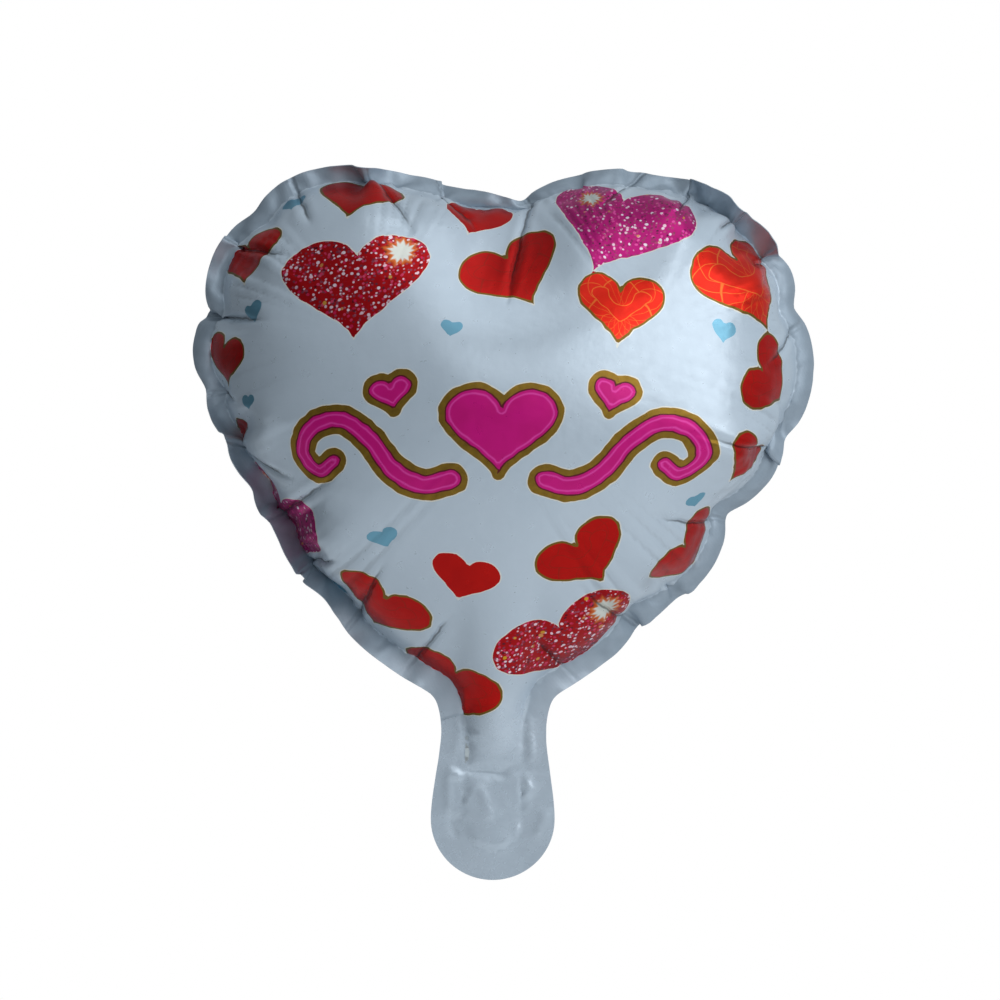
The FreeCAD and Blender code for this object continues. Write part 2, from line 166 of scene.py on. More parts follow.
# The right-hand scroll's marks, and its half width at both ends. The left one mirrors it.
SCROLL = [(15, 101), (24, 99), (34, 104), (42, 113), (52, 119), (62, 116), (66, 107), (60, 101), (54, 105)]
SCROLL_ENDS = (3.2, 2.2)
# scale, range of chance, dot size, and the dots' colours on red and on pink
GLITTER = [
    (0.80, 0.0, 0.62, 0.36, (96, 0, 16), (140, 16, 92)),
    (0.66, 0.0, 0.42, 0.32, (214, 24, 76), (232, 70, 165)),
    (0.47, 0.30, 0.97, 0.22, (248, 228, 236), (250, 232, 244)),
    (0.72, 0.60, 0.99, 0.22, (244, 220, 228), (70, 10, 50)),
    (0.30, 0.0, 0.16, 0.17, (214, 160, 30), (220, 170, 40)),
]

# The studio, in metres
LENS = 127.2
CAMERA_PLACE = (0.0014, -1.2, 0.0825)
CAMERA_ROLL = -0.01
FLOOR_HEIGHT = -0.45
WORLD_TONES = [(0.035, 0.042, 0.05, 1), (0.62, 0.69, 0.75, 1)]
WORLD_STRENGTH = 0.85
LIGHTS = [
    ("key", (1.0, -1.05, 0.6), (0.02, 0, 0.09), 1.3, 1.3, 9.5, (0.97, 0.985, 1.0)),
    ("top", (0.2, -0.4, 1.2), (0, 0, 0.1), 1.0, 0.6, 1.5, (0.95, 0.98, 1.0)),
    ("front", (0.2, -1.5, 0.8), (0, 0, 0.1), 0.8, 0.8, 1.2, (0.95, 0.98, 1.0)),
]


# ---- flat outlines


def arc_points(centre, radius, start, end, count):
    """Points along an arc, from its start angle to its end angle in radians."""
    turn = np.linspace(start, end, count)
    return np.c_[centre[0] + radius * np.cos(turn), centre[1] + radius * np.sin(turn)]


def eased(start, leaving, end, arriving, count=9):
    """A cubic curve from start to end with the given end slopes."""
    t = np.linspace(0, 1, count)[:, None]
    return ((2 * t**3 - 3 * t**2 + 1) * start + (t**3 - 2 * t**2 + t) * leaving
            + (3 * t**2 - 2 * t**3) * end + (t**3 - t**2) * arriving)


def heart_outline(notch_fill):
    """The sheet's outline: heart, neck and tail. notch_fill rounds the notch between the lobes."""
    lobe, shoulder = np.array([LOBE_ACROSS, LOBE_UP]), np.array(SHOULDER)
    gap = np.linalg.norm(shoulder - lobe)
    along = ((SIDE_RADIUS - LOBE_RADIUS)**2 - SIDE_RADIUS**2 + gap**2) / (2 * gap)
    aside = math.sqrt((SIDE_RADIUS - LOBE_RADIUS)**2 - along**2)
    way = (shoulder - lobe) / gap
    centre = min((tuple(lobe + way * along + s * aside * np.array([-way[1], way[0]])) for s in (1, -1)))
    fill_up = LOBE_UP + math.sqrt((LOBE_RADIUS + notch_fill)**2 - LOBE_ACROSS**2)
    touch = math.atan2(LOBE_UP - fill_up, LOBE_ACROSS)
    side_start = math.atan2(lobe[1] - centre[1], lobe[0] - centre[0])
    side_end = math.atan2(shoulder[1] - centre[1], shoulder[0] - centre[0])
    down = np.array([math.sin(side_end), -math.cos(side_end)])
    neck, tail = np.array([NECK_HALF, 0]), np.array([TAIL_HALF, TAIL_ROUND])
    half = np.vstack([
        arc_points((0, fill_up), notch_fill, -math.pi / 2, touch, 8)[:-1],
        arc_points(lobe, LOBE_RADIUS, math.pi + touch, side_start, 60),
        arc_points(centre, SIDE_RADIUS, side_start, side_end, 40)[1:],
        eased(shoulder, 14 * down, neck, np.array([0, -14]))[1:],
        eased(neck, np.array([0, -26]), tail, np.array([0, -26]))[1:],
    ])
    end = arc_points((0, 0), 1, 0, -math.pi / 2, 14)[1:]
    end = np.c_[TAIL_HALF * end[:, 0], TAIL_ROUND - (TAIL_ROUND - TAIL_LOW) * -end[:, 1]]
    half = np.vstack([half, end])
    return np.vstack([half, half[1:-1][::-1] * [-1, 1]])


def spaced(points, step):
    """The closed outline through points, again at even steps."""
    loop = np.vstack([points, points[:1]])
    run = np.r_[0, np.cumsum(np.linalg.norm(np.diff(loop, axis=0), axis=1))]
    at = np.linspace(0, run[-1], round(run[-1] / step), endpoint=False)
    return np.c_[np.interp(at, run, loop[:, 0]), np.interp(at, run, loop[:, 1])]


def nearest(points, line):
    """Each point's distance to the line's points, and the nearest one's index."""
    away, index = np.empty(len(points)), np.empty(len(points), int)
    for i in range(0, len(points), 2000):
        square = ((points[i:i + 2000, None] - line[None])**2).sum(2)
        index[i:i + 2000] = square.argmin(1)
        away[i:i + 2000] = np.sqrt(square.min(1))
    return away, index


def inside(points, loop):
    """Whether each point is inside the closed loop."""
    x, y = points.T
    hit = np.zeros(len(points), bool)
    for (x0, y0), (x1, y1) in zip(loop, np.roll(loop, 1, 0)):
        if y0 != y1:
            hit ^= ((y0 > y) != (y1 > y)) & (x < (x1 - x0) * (y - y0) / (y1 - y0) + x0)
    return hit


def smooth(low, high, value):
    """0 under low, 1 over high, and smooth between."""
    t = np.clip((value - low) / (high - low), 0, 1)
    return t * t * (3 - 2 * t)


def seam_outline(outline):
    """The weld's inner edge: inside the outline by the rim's width, which is more in the tail."""
    ahead = np.roll(outline, -1, 0) - np.roll(outline, 1, 0)
    inward = np.c_[ahead[:, 1], -ahead[:, 0]] / np.linalg.norm(ahead, axis=1)[:, None]
    width = HEART_RIM + (TAIL_RIM - HEART_RIM) * smooth(0, -20, outline[:, 1])
    moved = outline + inward * width[:, None]
    return moved[nearest(moved, outline)[0] > 0.985 * width]


def sides_of(faces):
    """Each face's three sides: both ends, and the corner across."""
    return np.vstack([faces[:, [0, 1, 2]], faces[:, [1, 2, 0]], faces[:, [2, 0, 1]]])


def summed(index, values, count):
    """The sum of the rows of values that go to each index."""
    return np.array([np.bincount(index, column, count) for column in values.T]).T


# ---- the flat sheets as one triangle mesh


def flat_mesh():
    """Triangles of the front, the back and the single rim between them, and every point's flat place."""
    outer = spaced(heart_outline(NOTCH_FILL), SPACING)
    fine_seam = spaced(seam_outline(spaced(heart_outline(1.0), SEAM_STEP)), SEAM_STEP)
    seam = spaced(fine_seam, SPACING)
    low, high = outer.min(0), outer.max(0)
    rows = np.arange(low[1], high[1], SPACING * 0.866)
    grid = np.array([(x + SPACING / 2 * (k % 2), z) for k, z in enumerate(rows)
                     for x in np.arange(low[0], high[0], SPACING)])
    grid += np.random.default_rng(4).uniform(-0.12, 0.12, grid.shape) * SPACING
    grid = grid[inside(grid, outer)]
    grid = grid[nearest(grid, fine_seam)[0] > 0.6 * SPACING]
    grid = grid[nearest(grid, spaced(outer, SEAM_STEP))[0] > 0.6 * SPACING]
    points = np.vstack([seam, outer, grid])
    count = len(seam)
    edges = [(i, (i + 1) % count) for i in range(count)]
    edges += [(count + i, count + (i + 1) % len(outer)) for i in range(len(outer))]
    place, _, faces, *_ = delaunay_2d_cdt([Vector(p) for p in points], edges, [], 2, 1e-4)
    place = np.array([tuple(p) for p in place])
    faces = np.array([tuple(f) for f in faces if len(f) == 3])
    faces = faces[inside(place[faces].mean(1), outer)]
    a, b, c = (place[faces[:, i]] for i in range(3))
    turned = (b[:, 0] - a[:, 0]) * (c[:, 1] - a[:, 1]) - (b[:, 1] - a[:, 1]) * (c[:, 0] - a[:, 0]) < 0
    faces[turned] = faces[turned][:, ::-1]
    pillow = inside(place[faces].mean(1), seam)
    front, rim = faces[pillow], faces[~pillow]
    welded = np.zeros(len(place), bool)
    welded[rim] = True
    free = np.zeros(len(place), bool)
    free[front] = True
    free &= ~welded
    twin = np.arange(len(place))
    twin[free] = len(place) + np.arange(free.sum())
    flat = np.vstack([place, place[free]])
    start = np.zeros((len(flat), 3))
    start[:, [0, 2]] = flat
    swell = 0.4 * np.sqrt(nearest(place[free], fine_seam)[0])
    start[:len(place)][free, 1] = -swell
    start[len(place):, 1] = swell
    welded = np.r_[welded, np.zeros(free.sum(), bool)]
    pairs = np.c_[np.flatnonzero(free), twin[free]]
    return {"flat": flat, "start": start, "front": front, "back": twin[front][:, ::-1], "rim": rim,
            "welded": welded, "pairs": pairs, "seam": fine_seam, "rings": [len(seam), len(outer)]}


# ---- inflation


def springs(flat, faces, stiff):
    """Edge springs, and weak springs across each edge that keep creases from being knife sharp."""
    sides = sides_of(faces)
    low, high = np.sort(sides[:, :2], axis=1).T
    order = np.lexsort((high, low))
    low, high, far = low[order], high[order], sides[order, 2]
    first = np.r_[True, (low[1:] != low[:-1]) | (high[1:] != high[:-1])]
    shared = ~first[1:]
    across = np.c_[far[:-1][shared], far[1:][shared]]
    edges = np.c_[low[first], high[first]]
    length = np.linalg.norm(flat[edges[:, 1]] - flat[edges[:, 0]], axis=1)
    reach = np.linalg.norm(flat[across[:, 1]] - flat[across[:, 0]], axis=1)
    across, reach = across[reach > 0.01], reach[reach > 0.01]
    ends = np.vstack([edges, across])
    rest = np.r_[length, reach]
    mean = length.mean()
    pull = np.r_[np.ones(len(edges)), stiff[across].min(1)] * mean / np.maximum(rest, 0.4 * mean)
    return ends, rest, pull


def pinched(sheet):
    """How much of a pucker's first dent each point has: 1 or -1 in its middle, by turns."""
    seam = sheet["seam"]
    turn = np.degrees(np.arctan2(seam[:, 1] - MIDDLE[1], seam[:, 0] - MIDDLE[0]))
    run = SEAM_STEP * nearest(sheet["flat"], seam)[1]
    round_it = SEAM_STEP * len(seam)
    dent = np.zeros(len(run))
    for number, pinch in enumerate(PINCHES):
        at = SEAM_STEP * abs((turn - pinch + 180) % 360 - 180).argmin()
        away = abs((run - at + round_it / 2) % round_it - round_it / 2)
        dent += (-1)**number * np.exp(-(away / PINCH_WIDTH)**2)
    return dent * sheet["welded"]


def inflate(sheet):
    """Moves the sheets under pressure until they are at rest. Returns the points."""
    flat, faces = sheet["flat"], np.vstack([sheet["front"], sheet["back"], sheet["rim"]])
    count = len(flat)
    dent = pinched(sheet)
    stiff = np.where(sheet["welded"], RIM_BENDING * (1 - abs(dent)), BENDING)
    ends, rest, pull = springs(flat, faces, stiff)
    a, b = ends.T
    both = np.r_[a, b]
    step = 0.35
    gain = 4 * step / np.maximum(np.bincount(both, np.r_[pull, pull], count), 1e-3)
    share = np.clip((flat[:, 1] + 1) / 16, 0, 1) * ~sheet["welded"]
    share = share[faces].mean(1) / 6
    pressed = share > 0
    share, corners = share[pressed], faces[pressed].T
    corner = np.r_[corners[0], corners[1], corners[2]]
    front, back = sheet["pairs"].T
    place = sheet["start"].copy()
    place[:, 1] += dent * PINCH_LIFT
    place[sheet["welded"], 1] += np.random.default_rng(1).uniform(-0.1, 0.1, sheet["welded"].sum())
    place = list(place.T.copy())
    speed = [np.zeros(count) for _ in range(3)]
    tail = flat[:, 1] < FOLD
    notch = sheet["welded"] & (abs(flat[:, 0]) < 6) & (flat[:, 1] > LOBE_UP)
    inward = np.array(MIDDLE) - flat
    inward *= (PINCH_PULL * abs(dent) / np.linalg.norm(inward, axis=1))[:, None]
    tick = 0
    for steps, pressure, damping in STAGES:
        tug = (inward[:, 0], 0.0, inward[:, 1]) if tick == 0 else (0.0, 0.0, 0.0)
        for _ in range(steps):
            span = [p[b] - p[a] for p in place]
            tension = pull * (1 - rest / (np.sqrt(sum(s * s for s in span)) + 1e-9))
            if tick % 5 == 0:
                e = [p[corners[1]] - p[corners[0]] for p in place]
                f = [p[corners[2]] - p[corners[0]] for p in place]
                blow = []
                for i, j in ((1, 2), (2, 0), (0, 1)):
                    load = (e[i] * f[j] - e[j] * f[i]) * share * pressure
                    blow.append(np.bincount(corner, np.r_[load, load, load], count))
            for i in range(3):
                force = span[i] * tension
                force = np.bincount(both, np.r_[force, -force], count) + blow[i] + tug[i]
                speed[i] = (speed[i] + gain * force) * (1 - damping)
                place[i] = place[i] + step * speed[i]
            if tick % 3 == 0:
                close = place[1][back] - place[1][front] < 0.3
                f, k = front[close], back[close]
                middle = (place[1][f] + place[1][k]) / 2
                place[1][f], place[1][k] = middle - 0.15, middle + 0.15
            place[0][tail], place[2][tail] = flat[tail].T
            place[1][tail] = 0
            place[2][notch] = np.maximum(place[2][notch], flat[notch, 1] - NOTCH_DROP)
            tick += 1
    return np.array(place).T


# ---- finer mesh


def refined(sheet, place):
    """Loop subdivision of the inflated film. The seam and the outer edge stay on smooth curves."""
    faces = np.vstack([sheet["front"], sheet["back"], sheet["rim"]])
    count = len(place)
    sides = sides_of(faces)
    keys, index = np.unique(sides[:, :2].min(1) * count + sides[:, :2].max(1), return_inverse=True)
    a, b = keys // count, keys % count
    far = summed(index, place[sides[:, 2]], len(keys))
    middle = (place[a] + place[b]) / 2
    inner = np.bincount(index) == 2
    middle[inner] = 0.75 * middle[inner] + 0.125 * far[inner]
    near = summed(a, place[b], count) + summed(b, place[a], count)
    valence = (np.bincount(a, minlength=count) + np.bincount(b, minlength=count))[:, None]
    give = np.where(valence > 3, 3 / (8 * valence), 3 / 16)
    rounded = (1 - valence * give) * place + give * near
    first = 0
    for length in sheet["rings"]:
        ring = first + np.arange(length)
        rounded[ring] = place[ring]
        after = np.roll(ring, -1)
        edge = np.searchsorted(keys, np.minimum(ring, after) * count + np.maximum(ring, after))
        wide = place[np.roll(ring, 1)] + place[np.roll(ring, -2)]
        middle[edge] = (9 * (place[ring] + place[after]) - wide) / 16
        first += length
    i, j, k = faces.T
    ij, jk, ki = count + index.reshape(3, len(faces))
    quarters = np.stack([np.c_[i, ij, ki], np.c_[j, jk, ij], np.c_[k, ki, jk], np.c_[ij, jk, ki]], 1)
    cut = np.cumsum([len(sheet["front"]), len(sheet["back"])])
    front, back, rim = (part.reshape(-1, 3) for part in np.split(quarters, cut))
    flat = np.vstack([sheet["flat"], (sheet["flat"][a] + sheet["flat"][b]) / 2])
    return np.vstack([rounded, middle]), flat, front, back, rim


# ---- puckers, wrinkles and creases


def wavering(run, whole, lowest, highest, seed):
    """Smooth noise from -1 to 1 along a closed line of that whole length."""
    random = np.random.default_rng(seed)
    value = np.zeros(len(run))
    for cycles in range(lowest, highest):
        value += random.normal() * np.sin(2 * math.pi * (cycles * run / whole + random.uniform()))
    return np.tanh(1.5 * value / math.sqrt(highest - lowest))


def seam_wrinkles(depth, run, whole):
    """Fine folds that run in from the seam, where the film is gathered."""
    phase = round(whole / WRINKLE_STEP) * run / whole + 0.9 * wavering(run, whole, 3, 30, 11)
    wave = 0.6 - 1.6 * abs(np.cos(math.pi * phase))**3
    strength = WRINKLE * (0.5 + 0.5 * wavering(run, whole, 4, 16, 12))
    reach = WRINKLE_REACH * (0.9 + 0.4 * wavering(run, whole, 10, 40, 13))
    return strength * wave * smooth(6, 18, depth) * np.exp(-(depth / reach)**2)


def pinch_creases(flat, seam):
    """The sharp creases that run in from the rim's notches: distance across the nearest, and its share."""
    turn = np.degrees(np.arctan2(seam[:, 1] - MIDDLE[1], seam[:, 0] - MIDDLE[0]))
    across, share = np.full(len(flat), 9.0), np.zeros(len(flat))
    for angle, length, slant in CREASES:
        start = seam[abs((turn - angle + 180) % 360 - 180).argmin()]
        way = math.atan2(MIDDLE[1] - start[1], MIDDLE[0] - start[0]) + math.radians(slant)
        gone = flat - start
        along = gone[:, 0] * math.cos(way) + gone[:, 1] * math.sin(way)
        aside = gone[:, 1] * math.cos(way) - gone[:, 0] * math.sin(way)
        here = smooth(-13, -8, along) * (1 - smooth(0.5 * length, length, along)) * np.exp(-(aside / 4)**2)
        mine = here > share
        across[mine], share[mine] = aside[mine], here[mine]
    return across, share


def zigzag(value):
    """A straight-sided wave between -1 and 1, once for each 1 of value."""
    return 4 * abs(value % 1 - 0.5) - 1


def crumple(x, z):
    """The tail's creased surface, shared by both sheets."""
    rough = 0.18 * zigzag((0.94 * x + 0.34 * z) / 23 + 0.2) + 0.14 * zigzag((-0.3 * x + z) / 17 + 0.6)
    return rough * (1 - smooth(FOLD - 3, FOLD + 2.5, z))


def ridges(x, z, lines):
    """Creases along straight lines: (x, z) of both ends, height and width."""
    rough = np.zeros(len(x))
    for x0, z0, x1, z1, height, width in lines:
        length = math.hypot(x1 - x0, z1 - z0)
        along = ((x - x0) * (x1 - x0) + (z - z0) * (z1 - z0)) / length
        aside = ((x - x0) * (z1 - z0) - (z - z0) * (x1 - x0)) / length
        share = smooth(0, 4, along) * (1 - smooth(length - 4, length, along))
        rough += height * share * np.exp(-abs(aside) / width)
    return rough


def calmed(sheet, place):
    """Takes out single dents, and softens the valley's folds, which the coarse film makes too deep."""
    flat = sheet["flat"]
    valley = 0.5 * np.exp(-(flat[:, 0] / 26)**2) * smooth(118, 150, flat[:, 1]) * ~sheet["welded"]
    everywhere = 0.5 * ~sheet["welded"]
    for faces in (sheet["front"], sheet["back"]):
        a, b, _ = sides_of(faces).T
        times = np.bincount(a, minlength=len(place))
        here = times > 0
        for step in range(round(CALM_STEPS * (FINE_SPACING / SPACING)**2)):
            calm = everywhere if step < CALM_ALL else valley
            mean = summed(a, place[b], len(place)) / np.maximum(times, 1)[:, None]
            place[here] += (calm[:, None] * (mean - place))[here]
    return place


def blurred(values, reach):
    """Values along a closed line, each blurred over that many of its neighbours."""
    kernel = np.exp(-(np.arange(-3 * round(reach), 3 * round(reach) + 1) / reach)**2)
    return np.convolve(np.tile(values, 3), kernel / kernel.sum(), "same")[len(values):2 * len(values)]


def scalloped(sheet, place):
    """Moves the rim in and out to its scallops, and less of the film the further it is from the rim."""
    angles, notches, swells = np.array(SCALLOPS, float).T
    gone = place[:, [0, 2]] - MIDDLE
    far = np.linalg.norm(gone, axis=1)
    turn = np.degrees(np.arctan2(gone[:, 1], gone[:, 0]))
    turn = np.where(turn < -90, turn + 360, turn)
    piece = np.clip(np.searchsorted(angles, turn) - 1, 0, len(angles) - 2)
    t = np.clip((turn - angles[piece]) / (angles[piece + 1] - angles[piece]), 0, 1)
    wanted = np.interp(turn, angles, notches) + swells[piece] * 2 * np.sqrt(t * (1 - t))
    seam_in = SEAM_IN * (1 - 0.5 * np.exp(-((turn - CLEFT) / 8)**2))
    seam_count, edge_count = sheet["rings"]
    moves = []
    for first, length, inward in ((0, seam_count, seam_in), (seam_count, edge_count, 0)):
        ring = first + np.arange(length)
        more = ((wanted - inward - far) * smooth(34, 58, place[:, 2]))[ring]
        wide, more = blurred(more, 12 / SPACING), blurred(more, 3 / SPACING)
        moves.append((nearest(sheet["flat"], sheet["flat"][ring]), wide, more))
    (seam_away, at_seam), wide, more = moves[0]
    depth = seam_away * ~sheet["welded"]
    move = wide[at_seam] * np.exp(-(depth / WIDE_REACH)**2)
    move += (more - wide)[at_seam] * np.exp(-(depth / NARROW_REACH)**2)
    (edge_away, at_edge), wide, more = moves[1]
    share = seam_away / (seam_away + edge_away) * sheet["welded"]
    move = move * (1 - share) + more[at_edge] * share
    place[:, [0, 2]] += gone * (move / np.maximum(far, 1))[:, None]
    return place


def leaning(place):
    """The inflated heart with its unequal lobes: see LEAN, RIGHT_UP and WIDTHS."""
    x, _, z = place.T
    share = sum(more * np.exp(-((z - height) / 38)**2) for height, more in WIDTHS)
    across = x * (1 + share) + LEAN * np.clip(1 - (x / 110)**2, 0, None) * smooth(60, 180, z)
    return np.c_[across, place[:, 1], z + RIGHT_UP * x / 100 * smooth(120, 200, z)]


def shaped(sheet, place):
    """The inflated film with its fine relief: points, flat places, faces, distances out, and creases."""
    place = scalloped(sheet, leaning(calmed(sheet, place.copy())))
    front, back = sheet["pairs"].T
    loose = 1 - smooth(2, 15, sheet["flat"][:, 1])
    middle = (place[front, 1] + place[back, 1]) / 2
    place[front, 1] -= middle * loose[front]
    place[back, 1] -= middle * loose[back]
    place[sheet["welded"], 1] *= 1 - loose[sheet["welded"]]
    points, flat, front, back, rim = refined(sheet, place)
    x, z = flat.T
    away, index = nearest(flat, sheet["seam"])
    whole = SEAM_STEP * len(sheet["seam"])
    ahead = np.roll(sheet["seam"], -1, 0)[index] - sheet["seam"][index]
    beyond = ((flat - sheet["seam"][index]) * ahead).sum(1) / SEAM_STEP
    run = SEAM_STEP * index + np.clip(beyond, -SEAM_STEP / 2, SEAM_STEP / 2)
    outside = ~inside(flat, sheet["seam"])
    heart = smooth(14, 34, z)
    across, share = pinch_creases(flat, sheet["seam"])
    creases = CREASE * share * (0.5 * np.exp(-((abs(across) - 3.2) / 1.6)**2) - np.exp(-(across / 1.7)**2))
    channel = (1 - smooth(10, 20, z)) * np.clip(1 - (x / CHANNEL_HALF)**2, 0, 1)
    channel *= CHANNEL_PUFF * (1 - 0.75 * np.exp(-((z - FOLD) / 2.2)**2))
    wrinkles = heart * seam_wrinkles(away, run, whole)
    for faces, lines in ((front, FRONT_CREASES), (back, BACK_CREASES)):
        out = normals(points, faces)
        own = np.zeros(len(points), bool)
        own[faces] = True
        own &= ~outside
        rise = wrinkles + heart * creases + channel + ridges(x, z, lines) * smooth(0, 1.5, away)
        points[own] += (rise[:, None] * out)[own]
    facet = zigzag(run / 17 + 0.4 * wavering(run, whole, 4, 20, 7)) + 0.6 * zigzag(run / 7.3 + 0.3)
    points[:, 1] += RIM_FACET * facet * heart * outside * smooth(0, HEART_RIM, away)
    points[:, 1] -= ridges(x, z, FRONT_CREASES) * outside * smooth(0, 1.5, away) * (1 - heart)
    points[:, 1] += crumple(x, z) - 0.25 * np.exp(-abs(z - FOLD + 0.15 * x) / 0.9)
    folds = np.c_[across, share * heart, wrinkles * ~outside]
    return points, flat, front, back, rim, np.where(outside, away, -away), folds


def normals(points, faces):
    """Unit normals at the points, from the faces round each."""
    a, b, c = (points[faces[:, i]] for i in range(3))
    face = np.cross(b - a, c - a)
    total = summed(faces.T.ravel(), np.tile(face, (3, 1)), len(points))
    return total / np.maximum(np.linalg.norm(total, axis=1), 1e-12)[:, None]


# ---- the print, as distances from its outlines


def heart_curve(x, z, width, tilt):
    """A printed heart's outline about its middle, turned by tilt degrees."""
    t = np.linspace(0, 2 * math.pi, 96, endpoint=False)
    across = width / 2 * np.sin(t)**3
    up = width * 0.0263 * (13 * np.cos(t) - 5 * np.cos(2 * t) - 2 * np.cos(3 * t) - np.cos(4 * t) + 2.5)
    turn = math.radians(tilt)
    return np.c_[x + across * math.cos(turn) - up * math.sin(turn),
                 z + across * math.sin(turn) + up * math.cos(turn)]


def line_distance(points, line, radius, closed):
    """Distance to a line of points, less the line's own radius there."""
    start, end = (line, np.roll(line, -1, 0)) if closed else (line[:-1], line[1:])
    from_radius, to_radius = (radius, radius) if closed else (radius[:-1], radius[1:])
    along = end - start
    gone = points[:, None] - start[None]
    t = np.clip((gone * along).sum(2) / (along**2).sum(1), 0, 1)
    away = np.linalg.norm(gone - t[..., None] * along, axis=2)
    return (away - from_radius - t * (to_radius - from_radius)).min(1)


def heart_distance(points, outline):
    """Signed distance to a closed outline, exact near it."""
    away = np.full(len(points), 60.0)
    low, high = outline.min(0) - 6, outline.max(0) + 6
    close = ((points > low) & (points < high)).all(1)
    if close.any():
        away[close] = line_distance(points[close], outline, 0.0, True)
        away[close] *= np.where(inside(points[close], outline), -1, 1)
    return away


def flowing(marks, count=8):
    """A smooth line through the marks."""
    marks = np.array(marks, float)
    slope = np.gradient(marks, axis=0)
    runs = [eased(marks[i], slope[i], marks[i + 1], slope[i + 1], count)[:-1]
            for i in range(len(marks) - 1)]
    return np.vstack(runs + [marks[-1:]])


def laid_flat(points, flat, front):
    """The printed hearts with their middles moved from the inflated front to the flat sheet."""
    used = np.unique(front)
    seen = points[used][:, [0, 2]]
    hearts = []
    for kind, x, z, *rest in HEARTS:
        at = used[np.linalg.norm(seen - (x, z), axis=1).argmin()]
        hearts.append((kind, *flat[at], *rest))
    return hearts


def printed(flat, hearts):
    """Vertex attributes of the print at flat places in millimetres."""
    count = len(flat)
    art = np.full((count, 3), 60.0)
    local = np.zeros((count, 3))
    star = np.full((count, 3), 60.0)
    for kind, x, z, width, tilt, *starbursts in hearts:
        away = heart_distance(flat, heart_curve(x, z, width, tilt))
        mine = away < art[:, 0]
        art[mine, 0], art[mine, 1] = away[mine], kind
        turn = math.radians(tilt)
        gone = flat[mine] - (x, z)
        across = gone[:, 0] * math.cos(turn) + gone[:, 1] * math.sin(turn)
        up = gone[:, 1] * math.cos(turn) - gone[:, 0] * math.sin(turn)
        local[mine] = np.c_[across / width, up / width, np.full(mine.sum(), width)]
        for aside, above in starbursts:
            star[mine, 0] = across - aside * width
            star[mine, 1] = up - above * width
    for heart in MOTIF_HEARTS:
        art[:, 2] = np.minimum(art[:, 2], heart_distance(flat, heart_curve(*heart)))
    region = np.flatnonzero((abs(flat[:, 0]) < 85) & (abs(flat[:, 1] - MOTIF_UP) < 34))
    start, end = SCROLL_ENDS
    for side in (1, -1):
        line = flowing(SCROLL) * [side, 1]
        radius = start + (end - start) * np.linspace(0, 1, len(line))
        away = line_distance(flat[region], line, radius, False)
        art[region, 2] = np.minimum(art[region, 2], away)
    return {"art": art, "local": local, "star": star}


# ---- meshes


def film_piece(name, points, faces, low, high, attributes):
    """A thin closed shell: the faces from low to high millimetres along their normals."""
    used, faces = np.unique(faces, return_inverse=True)
    faces = faces.reshape(-1, 3)
    count = len(used)
    points = points[used]
    out = normals(points, faces)
    sides = sides_of(faces)[:, :2]
    key = sides.min(1) * count + sides.max(1)
    _, first, times = np.unique(key, return_index=True, return_counts=True)
    a, b = sides[first[times == 1]].T
    edge = np.vstack([np.c_[b, a, a + count], np.c_[b, a + count, b + count]])
    shell = np.vstack([faces, faces[:, ::-1] + count, edge]).astype(np.int32)
    corners = np.vstack([points + high * out, points + low * out]) * MM
    mesh = bpy.data.meshes.new(name)
    mesh.vertices.add(len(corners))
    mesh.vertices.foreach_set("co", corners.ravel().astype(np.float32))
    mesh.loops.add(shell.size)
    mesh.loops.foreach_set("vertex_index", shell.ravel())
    mesh.polygons.add(len(shell))
    mesh.polygons.foreach_set("loop_start", np.arange(0, shell.size, 3, dtype=np.int32))
    mesh.update(calc_edges=True)
    mesh.validate()
    mesh.polygons.foreach_set("use_smooth", np.ones(len(mesh.polygons), bool))
    mesh.set_sharp_from_angle(angle=math.radians(65))
    for word, values in attributes.items():
        layer = mesh.attributes.new(word, "FLOAT_VECTOR", "POINT")
        both = np.vstack([values[used], values[used]]).astype(np.float32)
        layer.data.foreach_set("vector", both.ravel())
    piece = bpy.data.objects.new(name, mesh)
    bpy.context.scene.collection.objects.link(piece)
    return piece


# ---- materials


def colour(red, green, blue):
    """An sRGB colour, 0 to 255, as the renderer's linear values."""
    linear = [c / 255 / 12.92 if c <= 10 else ((c / 255 + 0.055) / 1.055)**2.4 for c in (red, green, blue)]
    return (*linear, 1.0)


class Nodes:
    """A node tree. Its calls add nodes and return their sockets."""

    def __init__(self, owner):
        owner.use_nodes = True
        self.tree = owner.node_tree

    def put(self, socket, value):
        if isinstance(value, bpy.types.NodeSocket):
            self.tree.links.new(value, socket)
        else:
            socket.default_value = value

    def node(self, kind, settings, *values):
        made = self.tree.nodes.new(kind)
        for name, value in settings.items():
            setattr(made, name, value)
        for socket, value in zip(made.inputs, values):
            if value is not None:
                self.put(socket, value)
        return made

    def math(self, operation, a, b=0.0, c=0.0):
        return self.node("ShaderNodeMath", {"operation": operation}, a, b, c).outputs[0]

    def mix(self, share, a, b):
        made = self.node("ShaderNodeMix", {"data_type": "RGBA"}, share)
        self.put(made.inputs[6], a)
        self.put(made.inputs[7], b)
        return made.outputs[2]

    def blend(self, share, a, b):
        return self.node("ShaderNodeMix", {"data_type": "FLOAT"}, share, None, a, b).outputs[0]


